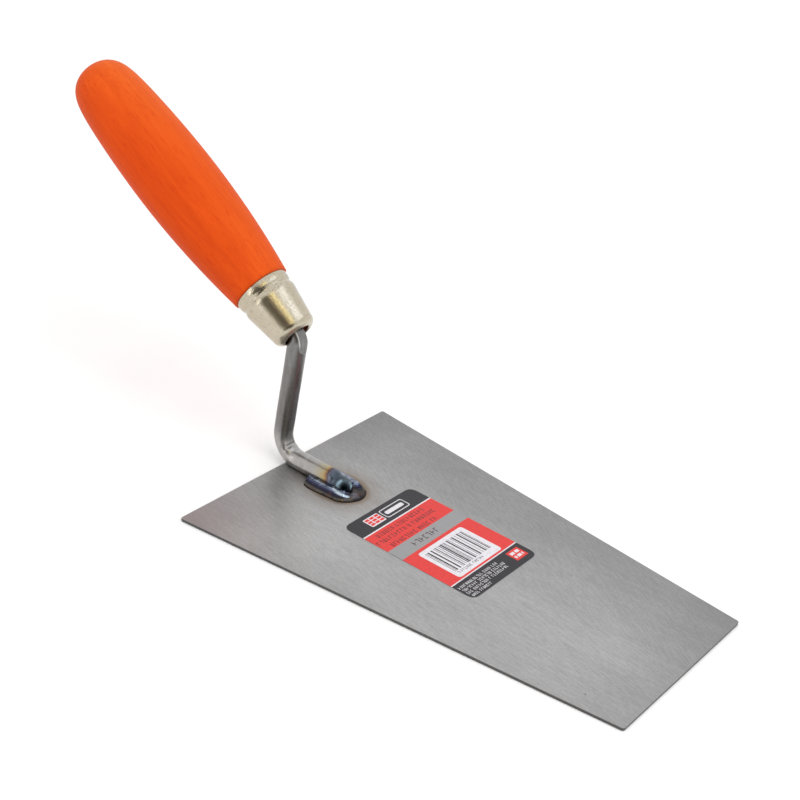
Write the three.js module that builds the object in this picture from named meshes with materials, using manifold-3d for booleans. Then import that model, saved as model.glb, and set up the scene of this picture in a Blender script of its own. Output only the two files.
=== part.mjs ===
// Brick trowel with a trapezoidal blade: a thin steel blade, a bent steel shank welded to
// it, a plated ferrule, a turned wooden handle and a film label.
//
// Units are millimetres. The origin is the middle of the blade's working face, +X runs
// from the heel (the wide end, at the handle) to the toe, and +Z points up, away from the
// working face. The trowel is symmetric about the XZ plane, apart from its label.

import * as THREE from 'three';
import * as BufferGeometryUtils from 'three/addons/utils/BufferGeometryUtils.js';
import Module from 'manifold-3d';

const wasm = await Module();
wasm.setup();

// Blade.
const BLADE_LENGTH = 180;
const HEEL_WIDTH = 120;
const TOE_WIDTH = 81;
const BLADE_THICKNESS = 1.2;
const BLADE_CORNER_RADIUS = 1;

// Shank: a round bar whose foot lies flat on the blade. It bends up just behind the heel,
// bends back at the neck and ends as a tang inside the handle.
const BAR_RADIUS = 3.9;
const FOOT_LENGTH = 32;
const FOOT_CENTRE_ABOVE_BLADE = 2.6;
const RISER_BEHIND_HEEL = 4.5;
const RISER_LEAN = THREE.MathUtils.degToRad(4);
const HEEL_BEND_RADIUS = 10;
const NECK_HEIGHT = 56.4;
const NECK_BEND_RADIUS = 5;
const NECK_TAPER_LENGTH = 6;
const THIN_BELOW_NECK = 1.5;
const TANG_RADIUS = 2.7;
const TANG_TIP_RADIUS = 2;
const TANG_LENGTH = 72;
const BAR_TIP_RADIUS = 0.6;

// Weld bead around the front of the foot.
const WELD_START = 14.5;
const WELD_END = 38;
const WELD_HALF_WIDTH = 9;
const WELD_NOSE_LENGTH = 11;
const WELD_HEIGHT = 2.6;
const WELD_ROUNDING = 1.6;

// Handle axis, ferrule and wooden handle. Heights are measured along the handle's axis
// from the ferrule's nose.
const HANDLE_TILT = THREE.MathUtils.degToRad(31.2);
const FERRULE_WALL = 0.8;
const FERRULE_HOLE_RADIUS = 5.4;
const NOSE_RING_RADIUS = 5.75;
const NOSE_ROUNDING = 3.2;
const SHOULDER_RADIUS = 10.95;
const SHOULDER_HEIGHT = 16.7;
const GROOVE_RADIUS = 10.55;
const GROOVE_HEIGHT = 19.2;
const COLLAR_RADIUS = 11.2;
const COLLAR_HEIGHT = 21.6;
const FERRULE_LENGTH = 23;

const GRIP_LENGTH = 112.7;
const GRIP_JOINT_RADIUS = 11.9;
const GRIP_SWELL_RADIUS = 15.8;
const GRIP_BUTT_RADIUS = 11.9;
const GRIP_SWELL_PLACE = 0.485;
const BUTT_SQUARENESS = 28;
const BORE_MOUTH_RADIUS = 5;
const BORE_MOUTH_DEPTH = 6;

// Label.
const LABEL_LENGTH = 60.5;
const LABEL_WIDTH = 41;
const LABEL_THICKNESS = 0.1;
const LABEL_CORNER_RADIUS = 3.5;
const LABEL_FROM_HEEL = 45;
const LABEL_OFF_CENTRE = 0.45;

// Clearance between pieces that fit into or around each other.
const GAP = 0.3;

const HEEL_X = -BLADE_LENGTH / 2;
const BLADE_TOP = BLADE_THICKNESS;
const FOOT_UNDERSIDE = BLADE_TOP + GAP;
const FOOT_CENTRE_HEIGHT = BLADE_TOP + FOOT_CENTRE_ABOVE_BLADE;
const SIDES_OF_ROUND = 40;

// A closed polygon whose corners are rounded.
function roundedPolygon(corners, radius) {
  const outline = new THREE.Shape();
  corners.forEach((corner, index) => {
    const before = corners[(index + corners.length - 1) % corners.length];
    const after = corners[(index + 1) % corners.length];
    const start = corner.clone().add(before.clone().sub(corner).setLength(radius));
    const end = corner.clone().add(after.clone().sub(corner).setLength(radius));
    if (index === 0) {
      outline.moveTo(start.x, start.y);
    } else {
      outline.lineTo(start.x, start.y);
    }
    outline.quadraticCurveTo(corner.x, corner.y, end.x, end.y);
  });
  outline.closePath();
  return outline;
}

function mergedCopy(geometry) {
  const bare = geometry.clone();
  bare.deleteAttribute('normal');
  bare.deleteAttribute('uv');
  return BufferGeometryUtils.mergeVertices(bare, 1e-4);
}

function toSolid(geometry) {
  const merged = mergedCopy(geometry);
  return new wasm.Manifold(new wasm.Mesh({
    numProp: 3,
    vertProperties: new Float32Array(merged.attributes.position.array),
    triVerts: new Uint32Array(merged.index.array),
  }));
}

function toGeometry(solid) {
  const mesh = solid.getMesh();
  const geometry = new THREE.BufferGeometry();
  geometry.setAttribute('position', new THREE.BufferAttribute(mesh.vertProperties, 3));
  geometry.setIndex(new THREE.BufferAttribute(mesh.triVerts, 1));
  geometry.computeVertexNormals();
  return geometry;
}

function namedMesh(name, geometry, color, roughness, metalness) {
  const material = new THREE.MeshStandardMaterial({ color, roughness, metalness });
  const mesh = new THREE.Mesh(geometry, material);
  mesh.name = name;
  return mesh;
}

// The shank's centre line, in the XZ plane.
function bend(before, corner, after, radius) {
  const inward = before.clone().sub(corner).normalize();
  const onward = after.clone().sub(corner).normalize();
  const turn = Math.PI - inward.angleTo(onward);
  const tangent = radius * Math.tan(turn / 2);
  const control = tangent - (4 / 3) * radius * Math.tan(turn / 4);
  return new THREE.CubicBezierCurve3(
    corner.clone().addScaledVector(inward, tangent),
    corner.clone().addScaledVector(inward, control),
    corner.clone().addScaledVector(onward, control),
    corner.clone().addScaledVector(onward, tangent),
  );
}

const HANDLE_DIRECTION = new THREE.Vector3(-Math.cos(HANDLE_TILT), 0, Math.sin(HANDLE_TILT));
const RISER_FOOT = new THREE.Vector3(HEEL_X - RISER_BEHIND_HEEL, 0, FOOT_CENTRE_HEIGHT);
const NECK = new THREE.Vector3(
  RISER_FOOT.x + (NECK_HEIGHT - FOOT_CENTRE_HEIGHT) * Math.tan(RISER_LEAN),
  0,
  NECK_HEIGHT,
);

// The ferrule's nose stands far enough past the neck for the riser to clear its hole.
const NECK_TURN = NECK.clone().sub(RISER_FOOT).angleTo(HANDLE_DIRECTION);
const NOSE_PAST_NECK =
  (TANG_RADIUS + GAP) / Math.sin(NECK_TURN) - FERRULE_HOLE_RADIUS / Math.tan(NECK_TURN);

function shankCentreLine() {
  const toe = new THREE.Vector3(HEEL_X + FOOT_LENGTH, 0, FOOT_CENTRE_HEIGHT);
  const tangTip = NECK.clone().addScaledVector(HANDLE_DIRECTION, TANG_LENGTH);
  const heelBend = bend(toe, RISER_FOOT, NECK, HEEL_BEND_RADIUS);
  const neckBend = bend(RISER_FOOT, NECK, tangTip, NECK_BEND_RADIUS);
  const line = new THREE.CurvePath();
  line.add(new THREE.LineCurve3(toe, heelBend.v0));
  line.add(heelBend);
  line.add(new THREE.LineCurve3(heelBend.v3, neckBend.v0));
  line.add(neckBend);
  line.add(new THREE.LineCurve3(neckBend.v3, tangTip));
  return line;
}

// The bar's radius where its centre line has run a given distance from the foot's toe.
// The toe is domed, the bar thins just below the neck, and the tang tapers to its tip.
function barRadius(distance, neckDistance, totalLength) {
  if (distance < BAR_RADIUS) {
    const inDome = 1 - distance / BAR_RADIUS;
    return Math.max(BAR_TIP_RADIUS, BAR_RADIUS * Math.sqrt(1 - inDome * inDome));
  }
  if (distance < neckDistance) {
    const share = THREE.MathUtils.smoothstep(distance, neckDistance - NECK_TAPER_LENGTH, neckDistance);
    return THREE.MathUtils.lerp(BAR_RADIUS, TANG_RADIUS, share);
  }
  const share = (distance - neckDistance) / (totalLength - neckDistance);
  return THREE.MathUtils.lerp(TANG_RADIUS, TANG_TIP_RADIUS, share);
}

// Distances along the centre line at which the bar has a ring of vertices: close together
// on the dome, the bends and the neck, and far apart where the bar is straight.
function ringDistances(line) {
  const ends = line.getCurveLengths();
  const distances = [];
  const domeRings = 5;
  for (let ring = 0; ring <= domeRings; ring += 1) {
    distances.push(BAR_RADIUS * (1 - Math.cos((Math.PI / 2) * (ring / domeRings))));
  }
  const ringsPerCurve = [2, 12, 3, 9, 2];
  ringsPerCurve.forEach((rings, index) => {
    const start = index === 0 ? BAR_RADIUS : ends[index - 1];
    for (let ring = 1; ring <= rings; ring += 1) {
      distances.push(THREE.MathUtils.lerp(start, ends[index], ring / rings));
    }
  });
  const taperStart = ends[2] - THIN_BELOW_NECK - NECK_TAPER_LENGTH;
  distances.push(taperStart, taperStart + NECK_TAPER_LENGTH / 3, taperStart + (2 * NECK_TAPER_LENGTH) / 3);
  return distances.sort((first, second) => first - second);
}

// A cylinder bent along the centre line. Extra grows its radius, and no point of it lies
// below the floor height, which presses the foot's underside flat.
function bentBar(extra, floor) {
  const line = shankCentreLine();
  const length = line.getLength();
  const neckDistance = line.getCurveLengths()[2] - THIN_BELOW_NECK;
  const distances = ringDistances(line);
  const sides = 24;
  const bar = new THREE.CylinderGeometry(1, 1, distances.length - 1, sides, distances.length - 1);
  const position = bar.attributes.position;
  const across = new THREE.Vector3(0, 1, 0);
  for (let index = 0; index < position.count; index += 1) {
    const ring = Math.round(position.getY(index) + (distances.length - 1) / 2);
    const share = distances[ring] / length;
    const radius = barRadius(distances[ring], neckDistance, length) + extra;
    const up = new THREE.Vector3().crossVectors(line.getTangentAt(share), across);
    const point = line.getPointAt(share);
    point.addScaledVector(up, radius * position.getX(index));
    point.addScaledVector(across, radius * position.getZ(index));
    position.setXYZ(index, point.x, point.y, Math.max(point.z, floor));
  }
  return bar;
}

// Blade.
function bladeGeometry() {
  const corners = [
    new THREE.Vector2(HEEL_X, -HEEL_WIDTH / 2),
    new THREE.Vector2(-HEEL_X, -TOE_WIDTH / 2),
    new THREE.Vector2(-HEEL_X, TOE_WIDTH / 2),
    new THREE.Vector2(HEEL_X, HEEL_WIDTH / 2),
  ];
  const outline = roundedPolygon(corners, BLADE_CORNER_RADIUS);
  return new THREE.ExtrudeGeometry(outline, {
    depth: BLADE_THICKNESS, bevelEnabled: false, curveSegments: 6,
  });
}

// Weld bead: a mound with a round nose and a blunt tail, cut clear of the bar.
function weldGeometry() {
  const tail = HEEL_X + WELD_START;
  const noseStart = HEEL_X + WELD_END - WELD_NOSE_LENGTH;
  const inset = WELD_ROUNDING;
  const outline = new THREE.Shape();
  outline.moveTo(tail + inset, -WELD_HALF_WIDTH + inset);
  outline.lineTo(noseStart, -WELD_HALF_WIDTH + inset);
  outline.absellipse(
    noseStart, 0, WELD_NOSE_LENGTH - inset, WELD_HALF_WIDTH - inset, -Math.PI / 2, Math.PI / 2,
  );
  outline.lineTo(tail + inset, WELD_HALF_WIDTH - inset);
  outline.closePath();
  const mound = new THREE.ExtrudeGeometry(outline, {
    depth: WELD_HEIGHT - inset,
    bevelThickness: inset,
    bevelSize: inset,
    bevelSegments: 3,
    curveSegments: 10,
  });
  mound.translate(0, 0, BLADE_TOP);
  const belowBlade = mound.boundingBox ?? new THREE.Box3().setFromBufferAttribute(mound.attributes.position);
  const depthBelow = BLADE_TOP - belowBlade.min.z;
  const trim = new THREE.BoxGeometry(BLADE_LENGTH, HEEL_WIDTH, 2 * depthBelow);
  trim.translate(0, 0, BLADE_TOP - depthBelow);
  const bar = toSolid(bentBar(GAP, BLADE_TOP - GAP));
  return toGeometry(toSolid(mound).subtract(toSolid(trim)).subtract(bar));
}

// The ferrule's outside, from the edge of its nose up to its rim, moved inwards by inset.
function shellProfile(inset) {
  const points = [];
  const arcSteps = 5;
  for (let step = 0; step <= arcSteps; step += 1) {
    const angle = (Math.PI / 2) * (step / arcSteps);
    points.push(new THREE.Vector2(
      NOSE_RING_RADIUS + (NOSE_ROUNDING - inset) * Math.sin(angle),
      NOSE_ROUNDING - (NOSE_ROUNDING - inset) * Math.cos(angle),
    ));
  }
  const neckOfShell = new THREE.SplineCurve([
    new THREE.Vector2(SHOULDER_RADIUS - inset, SHOULDER_HEIGHT),
    new THREE.Vector2(GROOVE_RADIUS - inset, GROOVE_HEIGHT),
    new THREE.Vector2(COLLAR_RADIUS - inset, COLLAR_HEIGHT),
    new THREE.Vector2(COLLAR_RADIUS - inset, FERRULE_LENGTH),
  ]);
  return points.concat(neckOfShell.getPoints(9));
}

function ferruleGeometry() {
  const outside = shellProfile(0);
  const inside = shellProfile(FERRULE_WALL).reverse();
  const lip = NOSE_RING_RADIUS - FERRULE_HOLE_RADIUS;
  const profile = [
    new THREE.Vector2(FERRULE_HOLE_RADIUS, lip),
    ...outside,
    ...inside,
    new THREE.Vector2(FERRULE_HOLE_RADIUS, FERRULE_WALL),
    new THREE.Vector2(FERRULE_HOLE_RADIUS, lip),
  ];
  return new THREE.LatheGeometry(profile, SIDES_OF_ROUND);
}

// The grip's radius at a share of its length from the ferrule: two parabolas that meet at
// the swell, closed by a blunt rounded butt.
function gripRadius(share) {
  const beforeSwell = share < GRIP_SWELL_PLACE;
  const endRadius = beforeSwell ? GRIP_JOINT_RADIUS : GRIP_BUTT_RADIUS;
  const span = beforeSwell ? GRIP_SWELL_PLACE : 1 - GRIP_SWELL_PLACE;
  const fall = ((share - GRIP_SWELL_PLACE) / span) ** 2;
  const swelled = GRIP_SWELL_RADIUS - (GRIP_SWELL_RADIUS - endRadius) * fall;
  return swelled * Math.sqrt(1 - share ** BUTT_SQUARENESS);
}

function handleGeometry() {
  const shoulder = FERRULE_LENGTH + GAP;
  const boreEnd = TANG_LENGTH - NOSE_PAST_NECK + GAP;
  const bore = [
    new THREE.Vector2(0, boreEnd),
    new THREE.Vector2(TANG_TIP_RADIUS + GAP, boreEnd),
    new THREE.Vector2(TANG_RADIUS + GAP, BORE_MOUTH_DEPTH),
    new THREE.Vector2(BORE_MOUTH_RADIUS, FERRULE_WALL + GAP),
  ];
  const spigot = shellProfile(FERRULE_WALL + GAP);
  spigot[spigot.length - 1].y = shoulder;
  const grip = [];
  const gripSteps = 12;
  for (let step = 0; step <= gripSteps; step += 1) {
    const share = 0.9 * (step / gripSteps);
    grip.push(new THREE.Vector2(gripRadius(share), shoulder + GRIP_LENGTH * share));
  }
  const buttSteps = 7;
  for (let step = 1; step <= buttSteps; step += 1) {
    const share = 1 - 0.1 * (1 - step / buttSteps) ** 2;
    grip.push(new THREE.Vector2(gripRadius(share), shoulder + GRIP_LENGTH * share));
  }
  return new THREE.LatheGeometry([...bore, ...spigot, ...grip], SIDES_OF_ROUND);
}

function labelGeometry() {
  const left = HEEL_X + LABEL_FROM_HEEL;
  const low = LABEL_OFF_CENTRE - LABEL_WIDTH / 2;
  const corners = [
    new THREE.Vector2(left, low),
    new THREE.Vector2(left + LABEL_LENGTH, low),
    new THREE.Vector2(left + LABEL_LENGTH, low + LABEL_WIDTH),
    new THREE.Vector2(left, low + LABEL_WIDTH),
  ];
  const outline = roundedPolygon(corners, LABEL_CORNER_RADIUS);
  const label = new THREE.ExtrudeGeometry(outline, {
    depth: LABEL_THICKNESS, bevelEnabled: false, curveSegments: 5,
  });
  label.translate(0, 0, BLADE_TOP);
  return label;
}

const trowel = new THREE.Group();
trowel.add(namedMesh('blade', bladeGeometry(), 0x9a9896, 0.4, 1));
trowel.add(namedMesh('shank', mergedCopy(bentBar(0, FOOT_UNDERSIDE)), 0x77736f, 0.38, 1));
trowel.add(namedMesh('weld_bead', weldGeometry(), 0x2c313b, 0.25, 1));
trowel.add(namedMesh('label', labelGeometry(), 0xc22a2a, 0.3, 0));

// The handle's own Y axis is turned onto the handle's direction at the ferrule's nose.
const handleAssembly = new THREE.Group();
handleAssembly.position.copy(NECK).addScaledVector(HANDLE_DIRECTION, NOSE_PAST_NECK);
handleAssembly.quaternion.setFromUnitVectors(new THREE.Vector3(0, 1, 0), HANDLE_DIRECTION);
handleAssembly.add(namedMesh('ferrule', ferruleGeometry(), 0xc9c0a8, 0.25, 1));
handleAssembly.add(namedMesh('handle', handleGeometry(), 0xe85518, 0.45, 0));
trowel.add(handleAssembly);

export default trowel;
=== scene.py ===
import math
import random

import bmesh
import bpy
from mathutils import Matrix, Vector, noise
from mathutils.geometry import delaunay_2d_cdt


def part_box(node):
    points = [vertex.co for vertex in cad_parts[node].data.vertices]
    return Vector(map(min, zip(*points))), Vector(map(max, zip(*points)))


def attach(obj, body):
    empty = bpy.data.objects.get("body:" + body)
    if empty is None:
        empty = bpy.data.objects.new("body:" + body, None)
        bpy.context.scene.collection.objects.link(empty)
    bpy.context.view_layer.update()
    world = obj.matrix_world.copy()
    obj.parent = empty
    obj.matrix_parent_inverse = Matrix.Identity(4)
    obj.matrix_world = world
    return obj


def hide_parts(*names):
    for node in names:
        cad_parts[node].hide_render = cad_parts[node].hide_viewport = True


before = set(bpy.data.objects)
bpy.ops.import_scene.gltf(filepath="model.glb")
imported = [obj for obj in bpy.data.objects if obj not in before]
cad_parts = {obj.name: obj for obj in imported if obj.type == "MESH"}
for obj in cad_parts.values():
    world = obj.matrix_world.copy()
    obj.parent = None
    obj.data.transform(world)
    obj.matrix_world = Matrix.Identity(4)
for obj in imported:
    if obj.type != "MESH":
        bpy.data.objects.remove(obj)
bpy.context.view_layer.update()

MM = 0.001

# Where the CAD pieces are, read from the frame.
BLADE_LOW, BLADE_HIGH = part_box("blade")
HEEL = BLADE_LOW.x
TOE = BLADE_HIGH.x
TOP = BLADE_HIGH.z
MELTED_END = (HEEL + 30.3 * MM, -1.9 * MM, TOP + 2.9 * MM)

# Blade.
HEEL_WIDTH = 120 * MM
TOE_WIDTH = 81 * MM
CORNER_RADIUS = 1.0 * MM
EDGE_BEVEL = 0.06 * MM

# Shank, from the heel and the blade's top face.
BAR_RADIUS = 3.9 * MM
FOOT_LENGTH = 32 * MM
FOOT_CENTRE = 2.6 * MM
FOOT_GAP = 0.3 * MM
RISER_BEHIND_HEEL = 4.5 * MM
RISER_LEAN = math.radians(4)
HEEL_BEND_RADIUS = 10 * MM
NECK_HEIGHT = 56.4 * MM
NECK_BEND_RADIUS = 5 * MM
TANG_RADIUS = 2.7 * MM
TANG_SHOWN = 14 * MM

# Ferrule, with heights along the handle's axis from its nose.
HANDLE_TILT = math.radians(31.2)
FERRULE_WALL = 0.8 * MM
HOLE_RADIUS = 5.4 * MM
NOSE_RING_RADIUS = 5.75 * MM
NOSE_ROUNDING = 3.2 * MM
SHOULDER = (10.95 * MM, 16.7 * MM)
SHOULDER_EDGE = (10.85 * MM, 17.7 * MM)
GROOVE = (10.5 * MM, 18.9 * MM)
COLLAR_EDGE = (11.0 * MM, 20.2 * MM)
COLLAR = (11.2 * MM, 21.6 * MM)
FERRULE_LENGTH = 23 * MM

# Handle.
GRIP_LENGTH = 112.7 * MM
GRIP_JOINT_RADIUS = 11.9 * MM
GRIP_SWELL_RADIUS = 15.8 * MM
GRIP_BUTT_RADIUS = 11.9 * MM
GRIP_SWELL_PLACE = 0.485
BORE_DEPTH = 20 * MM
BORE_FLARE = 6 * MM
BORE_MOUTH_RADIUS = 5 * MM
BUTT_SQUARENESS = 28
GAP = 0.3 * MM

# Camera.
CAMERA_PLACE = Vector((0.24347, -0.41599, 0.33046))
CAMERA_AIM = Vector((-0.09203, 0.07492, 0.0))
CAMERA_ROLL = math.radians(7.547)
CAMERA_LENS = 71.04


def axis_direction():
    return Vector((-math.cos(HANDLE_TILT), 0, math.sin(HANDLE_TILT)))


def linear(level):
    """Linear value of an sRGB level given in 0 to 255."""
    share = level / 255
    return ((share + 0.055) / 1.055) ** 2.4 if level > 10 else share / 12.92


def rgb(red, green, blue):
    """Linear colour of an sRGB colour given in 0 to 255."""
    return tuple(linear(level) for level in (red, green, blue))


# ---------------------------------------------------------------- materials


class Paint:
    """A material's node tree around one Principled shader."""

    def __init__(self, name, **settings):
        self.material = bpy.data.materials.new(name)
        self.material.use_nodes = True
        self.tree = self.material.node_tree
        self.tree.nodes.clear()
        self.output = self.tree.nodes.new("ShaderNodeOutputMaterial")
        self.shader = self.tree.nodes.new("ShaderNodeBsdfPrincipled")
        self.link(self.shader.outputs[0], self.output.inputs[0])
        for key, value in settings.items():
            self.shader.inputs[key.replace("_", " ")].default_value = value
        self.place = self.node("ShaderNodeTexCoord").outputs["Object"]

    def node(self, kind, **properties):
        made = self.tree.nodes.new(kind)
        for key, value in properties.items():
            setattr(made, key, value)
        return made

    def link(self, source, target):
        self.tree.links.new(source, target)

    def feed(self, socket, value):
        """Sets a socket to a number, a colour or another node's output."""
        if isinstance(value, (int, float)):
            socket.default_value = value
        elif isinstance(value, tuple):
            socket.default_value = (*value, 1) if len(socket.default_value) == 4 else value
        else:
            self.link(value, socket)

    def set(self, name, value):
        self.feed(self.shader.inputs[name], value)

    def moved(self, location=(0, 0, 0), turn=(0, 0, 0), scale=(1, 1, 1), source=None):
        """Coordinates scaled, then turned by degrees, then shifted."""
        mapping = self.node("ShaderNodeMapping", vector_type="POINT")
        mapping.inputs["Location"].default_value = location
        mapping.inputs["Rotation"].default_value = [math.radians(one) for one in turn]
        mapping.inputs["Scale"].default_value = scale
        self.link(source or self.place, mapping.inputs["Vector"])
        return mapping.outputs[0]

    def streaks(self, turn, along, across, source=None, detail=3.0):
        """Noise drawn out along X after a turn, given in marks per metre."""
        turned = self.moved(turn=turn, source=source)
        return self.noise(self.moved(scale=(along, across, across), source=turned), 1.0, detail)

    def noise(self, vector, scale=1.0, detail=3.0, roughness=0.5, distortion=0.0):
        made = self.node("ShaderNodeTexNoise")
        self.link(vector, made.inputs["Vector"])
        made.inputs["Scale"].default_value = scale
        made.inputs["Detail"].default_value = detail
        made.inputs["Roughness"].default_value = roughness
        made.inputs["Distortion"].default_value = distortion
        return made.outputs["Fac"]

    def cells(self, vector, scale):
        made = self.node("ShaderNodeTexVoronoi")
        self.link(vector, made.inputs["Vector"])
        made.inputs["Scale"].default_value = scale
        return made.outputs["Distance"]

    def span(self, value, low, high, to_low=0.0, to_high=1.0):
        made = self.node("ShaderNodeMapRange", interpolation_type="SMOOTHSTEP")
        self.link(value, made.inputs["Value"])
        made.inputs["From Min"].default_value = low
        made.inputs["From Max"].default_value = high
        made.inputs["To Min"].default_value = to_low
        made.inputs["To Max"].default_value = to_high
        return made.outputs["Result"]

    def ramp(self, value, stops):
        made = self.node("ShaderNodeValToRGB")
        elements = made.color_ramp.elements
        while len(elements) < len(stops):
            elements.new(0.5)
        for element, (place, color) in zip(elements, stops):
            element.position = place
            element.color = (*color, 1)
        self.link(value, made.inputs["Fac"])
        return made.outputs["Color"]

    def math(self, operation, first, second=0.0):
        made = self.node("ShaderNodeMath", operation=operation)
        self.feed(made.inputs[0], first)
        self.feed(made.inputs[1], second)
        return made.outputs[0]

    def product(self, *values):
        total = values[0]
        for one in values[1:]:
            total = self.math("MULTIPLY", total, one)
        return total

    def wander(self, value, noise_value, reach):
        """A value moved up and down by a noise that averages one half."""
        shift = self.math("MULTIPLY", self.math("SUBTRACT", noise_value, 0.5), reach)
        return self.math("ADD", value, shift)

    def band(self, value, rise, fall):
        """1 between a soft rise and a soft fall, each a pair that starts on its dark side, else 0."""
        return self.product(self.span(value, *rise), self.span(value, *fall))

    def mix(self, share, first, second, blend="MIX"):
        made = self.node("ShaderNodeMix", data_type="RGBA", blend_type=blend)
        self.feed(made.inputs[0], share)
        self.feed(made.inputs[6], first)
        self.feed(made.inputs[7], second)
        return made.outputs[2]

    def grey(self, value):
        made = self.node("ShaderNodeCombineColor")
        for socket in made.inputs[:3]:
            self.feed(socket, value)
        return made.outputs[0]

    def shade(self, color, tone):
        """A colour multiplied by a grey tone."""
        return self.mix(1.0, color, self.grey(tone), "MULTIPLY")

    def part(self, axis):
        """One coordinate: 0 for X, 1 for Y, 2 for Z."""
        made = self.node("ShaderNodeSeparateXYZ")
        self.link(self.place, made.inputs[0])
        return made.outputs[axis]

    def distance(self, centre, stretch=(1, 1, 1)):
        """Distance from a point, with each axis multiplied by its stretch."""
        shifted = self.node("ShaderNodeVectorMath", operation="SUBTRACT")
        self.link(self.place, shifted.inputs[0])
        shifted.inputs[1].default_value = centre
        scaled = self.node("ShaderNodeVectorMath", operation="MULTIPLY")
        self.link(shifted.outputs[0], scaled.inputs[0])
        scaled.inputs[1].default_value = stretch
        length = self.node("ShaderNodeVectorMath", operation="LENGTH")
        self.link(scaled.outputs[0], length.inputs[0])
        return length.outputs["Value"]

    def bump(self, height, distance, strength=1.0, normal=None):
        made = self.node("ShaderNodeBump")
        made.inputs["Distance"].default_value = distance
        made.inputs["Strength"].default_value = strength
        self.link(height, made.inputs["Height"])
        if normal is not None:
            self.link(normal, made.inputs["Normal"])
        return made.outputs["Normal"]


def ground_steel():
    """Rolled sheet, ground one way on one half of the blade and another way on the other."""
    paint = Paint("ground_steel", Metallic=1.0)
    across = paint.part(1)
    along = paint.part(0)
    wobble = paint.noise(paint.moved(), 25, 2)
    far = paint.span(paint.wander(across, wobble, 4 * MM), -0.5 * MM, 2.5 * MM)
    near_marks = paint.streaks((0, 0, 14), 170, 1500)
    far_marks = paint.streaks((0, 0, 32), 170, 1500)
    marks = paint.mix(far, paint.grey(near_marks), paint.grey(far_marks))
    long_marks = paint.streaks((0, 0, -6), 40, 2200)
    broad = paint.noise(paint.moved(turn=(0, 0, 20), scale=(22, 60, 1)), 1.0, 4, 0.6)
    fine = paint.noise(paint.moved(), 1300, 2)
    marks_and_painted_shade = (
        # Painted shade and light: darker towards the heel, the toe, the far side and the near edge, a little
        # darker on the far ground half, and a painted lighter patch near the heel.
        paint.span(along, HEEL, HEEL + 26 * MM, 0.86, 1.0),
        paint.span(along, TOE - 28 * MM, TOE + 2 * MM, 1.0, 0.86),
        paint.span(across, -2 * MM, 52 * MM, 1.0, 0.78),
        paint.span(across, -30 * MM, -60 * MM, 1.0, 0.96),
        paint.span(far, 0, 1, 1.0, 0.955),
        paint.span(paint.distance((HEEL + 36 * MM, -36 * MM, TOP)), 0, 38 * MM, 1.22, 1.0),
        # The steel's own grinding marks and uneven tone.
        paint.span(marks, 0.25, 0.75, 0.90, 1.10),
        paint.span(long_marks, 0.25, 0.75, 0.96, 1.04),
        paint.span(broad, 0.3, 0.7, 0.955, 1.045),
        paint.span(fine, 0.3, 0.7, 0.95, 1.05),
    )
    color = paint.shade((0.405, 0.402, 0.403), paint.product(*marks_and_painted_shade))
    # Brown heat halo round the weld, and a faint warm stain in the near heel corner.
    halo = paint.distance((HEEL + 26 * MM, 0, TOP), (0.80, 0.98, 1))
    burnt = paint.span(halo, 9.2 * MM, 11.8 * MM, 0.55, 0)
    warm = paint.span(halo, 10 * MM, 19 * MM, 0.28, 0)
    color = paint.mix(paint.math("ADD", burnt, warm), color, (0.22, 0.155, 0.10))
    corner = paint.distance((HEEL, -55 * MM, TOP))
    color = paint.mix(paint.span(corner, 0, 34 * MM, 0.34, 0), color, (0.34, 0.29, 0.30))
    # A few dark pits.
    pits = paint.cells(paint.moved(scale=(1, 1, 0)), 60)
    color = paint.mix(paint.span(pits, 0.012, 0.03, 0.75, 0), color, (0.12, 0.12, 0.12))
    # The sheared edge is darker than the ground face.
    edge = paint.span(paint.part(2), TOP - 0.20 * MM, TOP - 0.06 * MM, 1, 0)
    color = paint.mix(edge, color, (0.115, 0.11, 0.108))
    paint.set("Base Color", color)
    paint.set("Roughness", paint.span(marks, 0.2, 0.8, 0.38, 0.50))
    paint.set("Normal", paint.bump(marks, 0.02 * MM, 0.4, paint.bump(broad, 0.12 * MM, 0.3)))
    return paint.material


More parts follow.
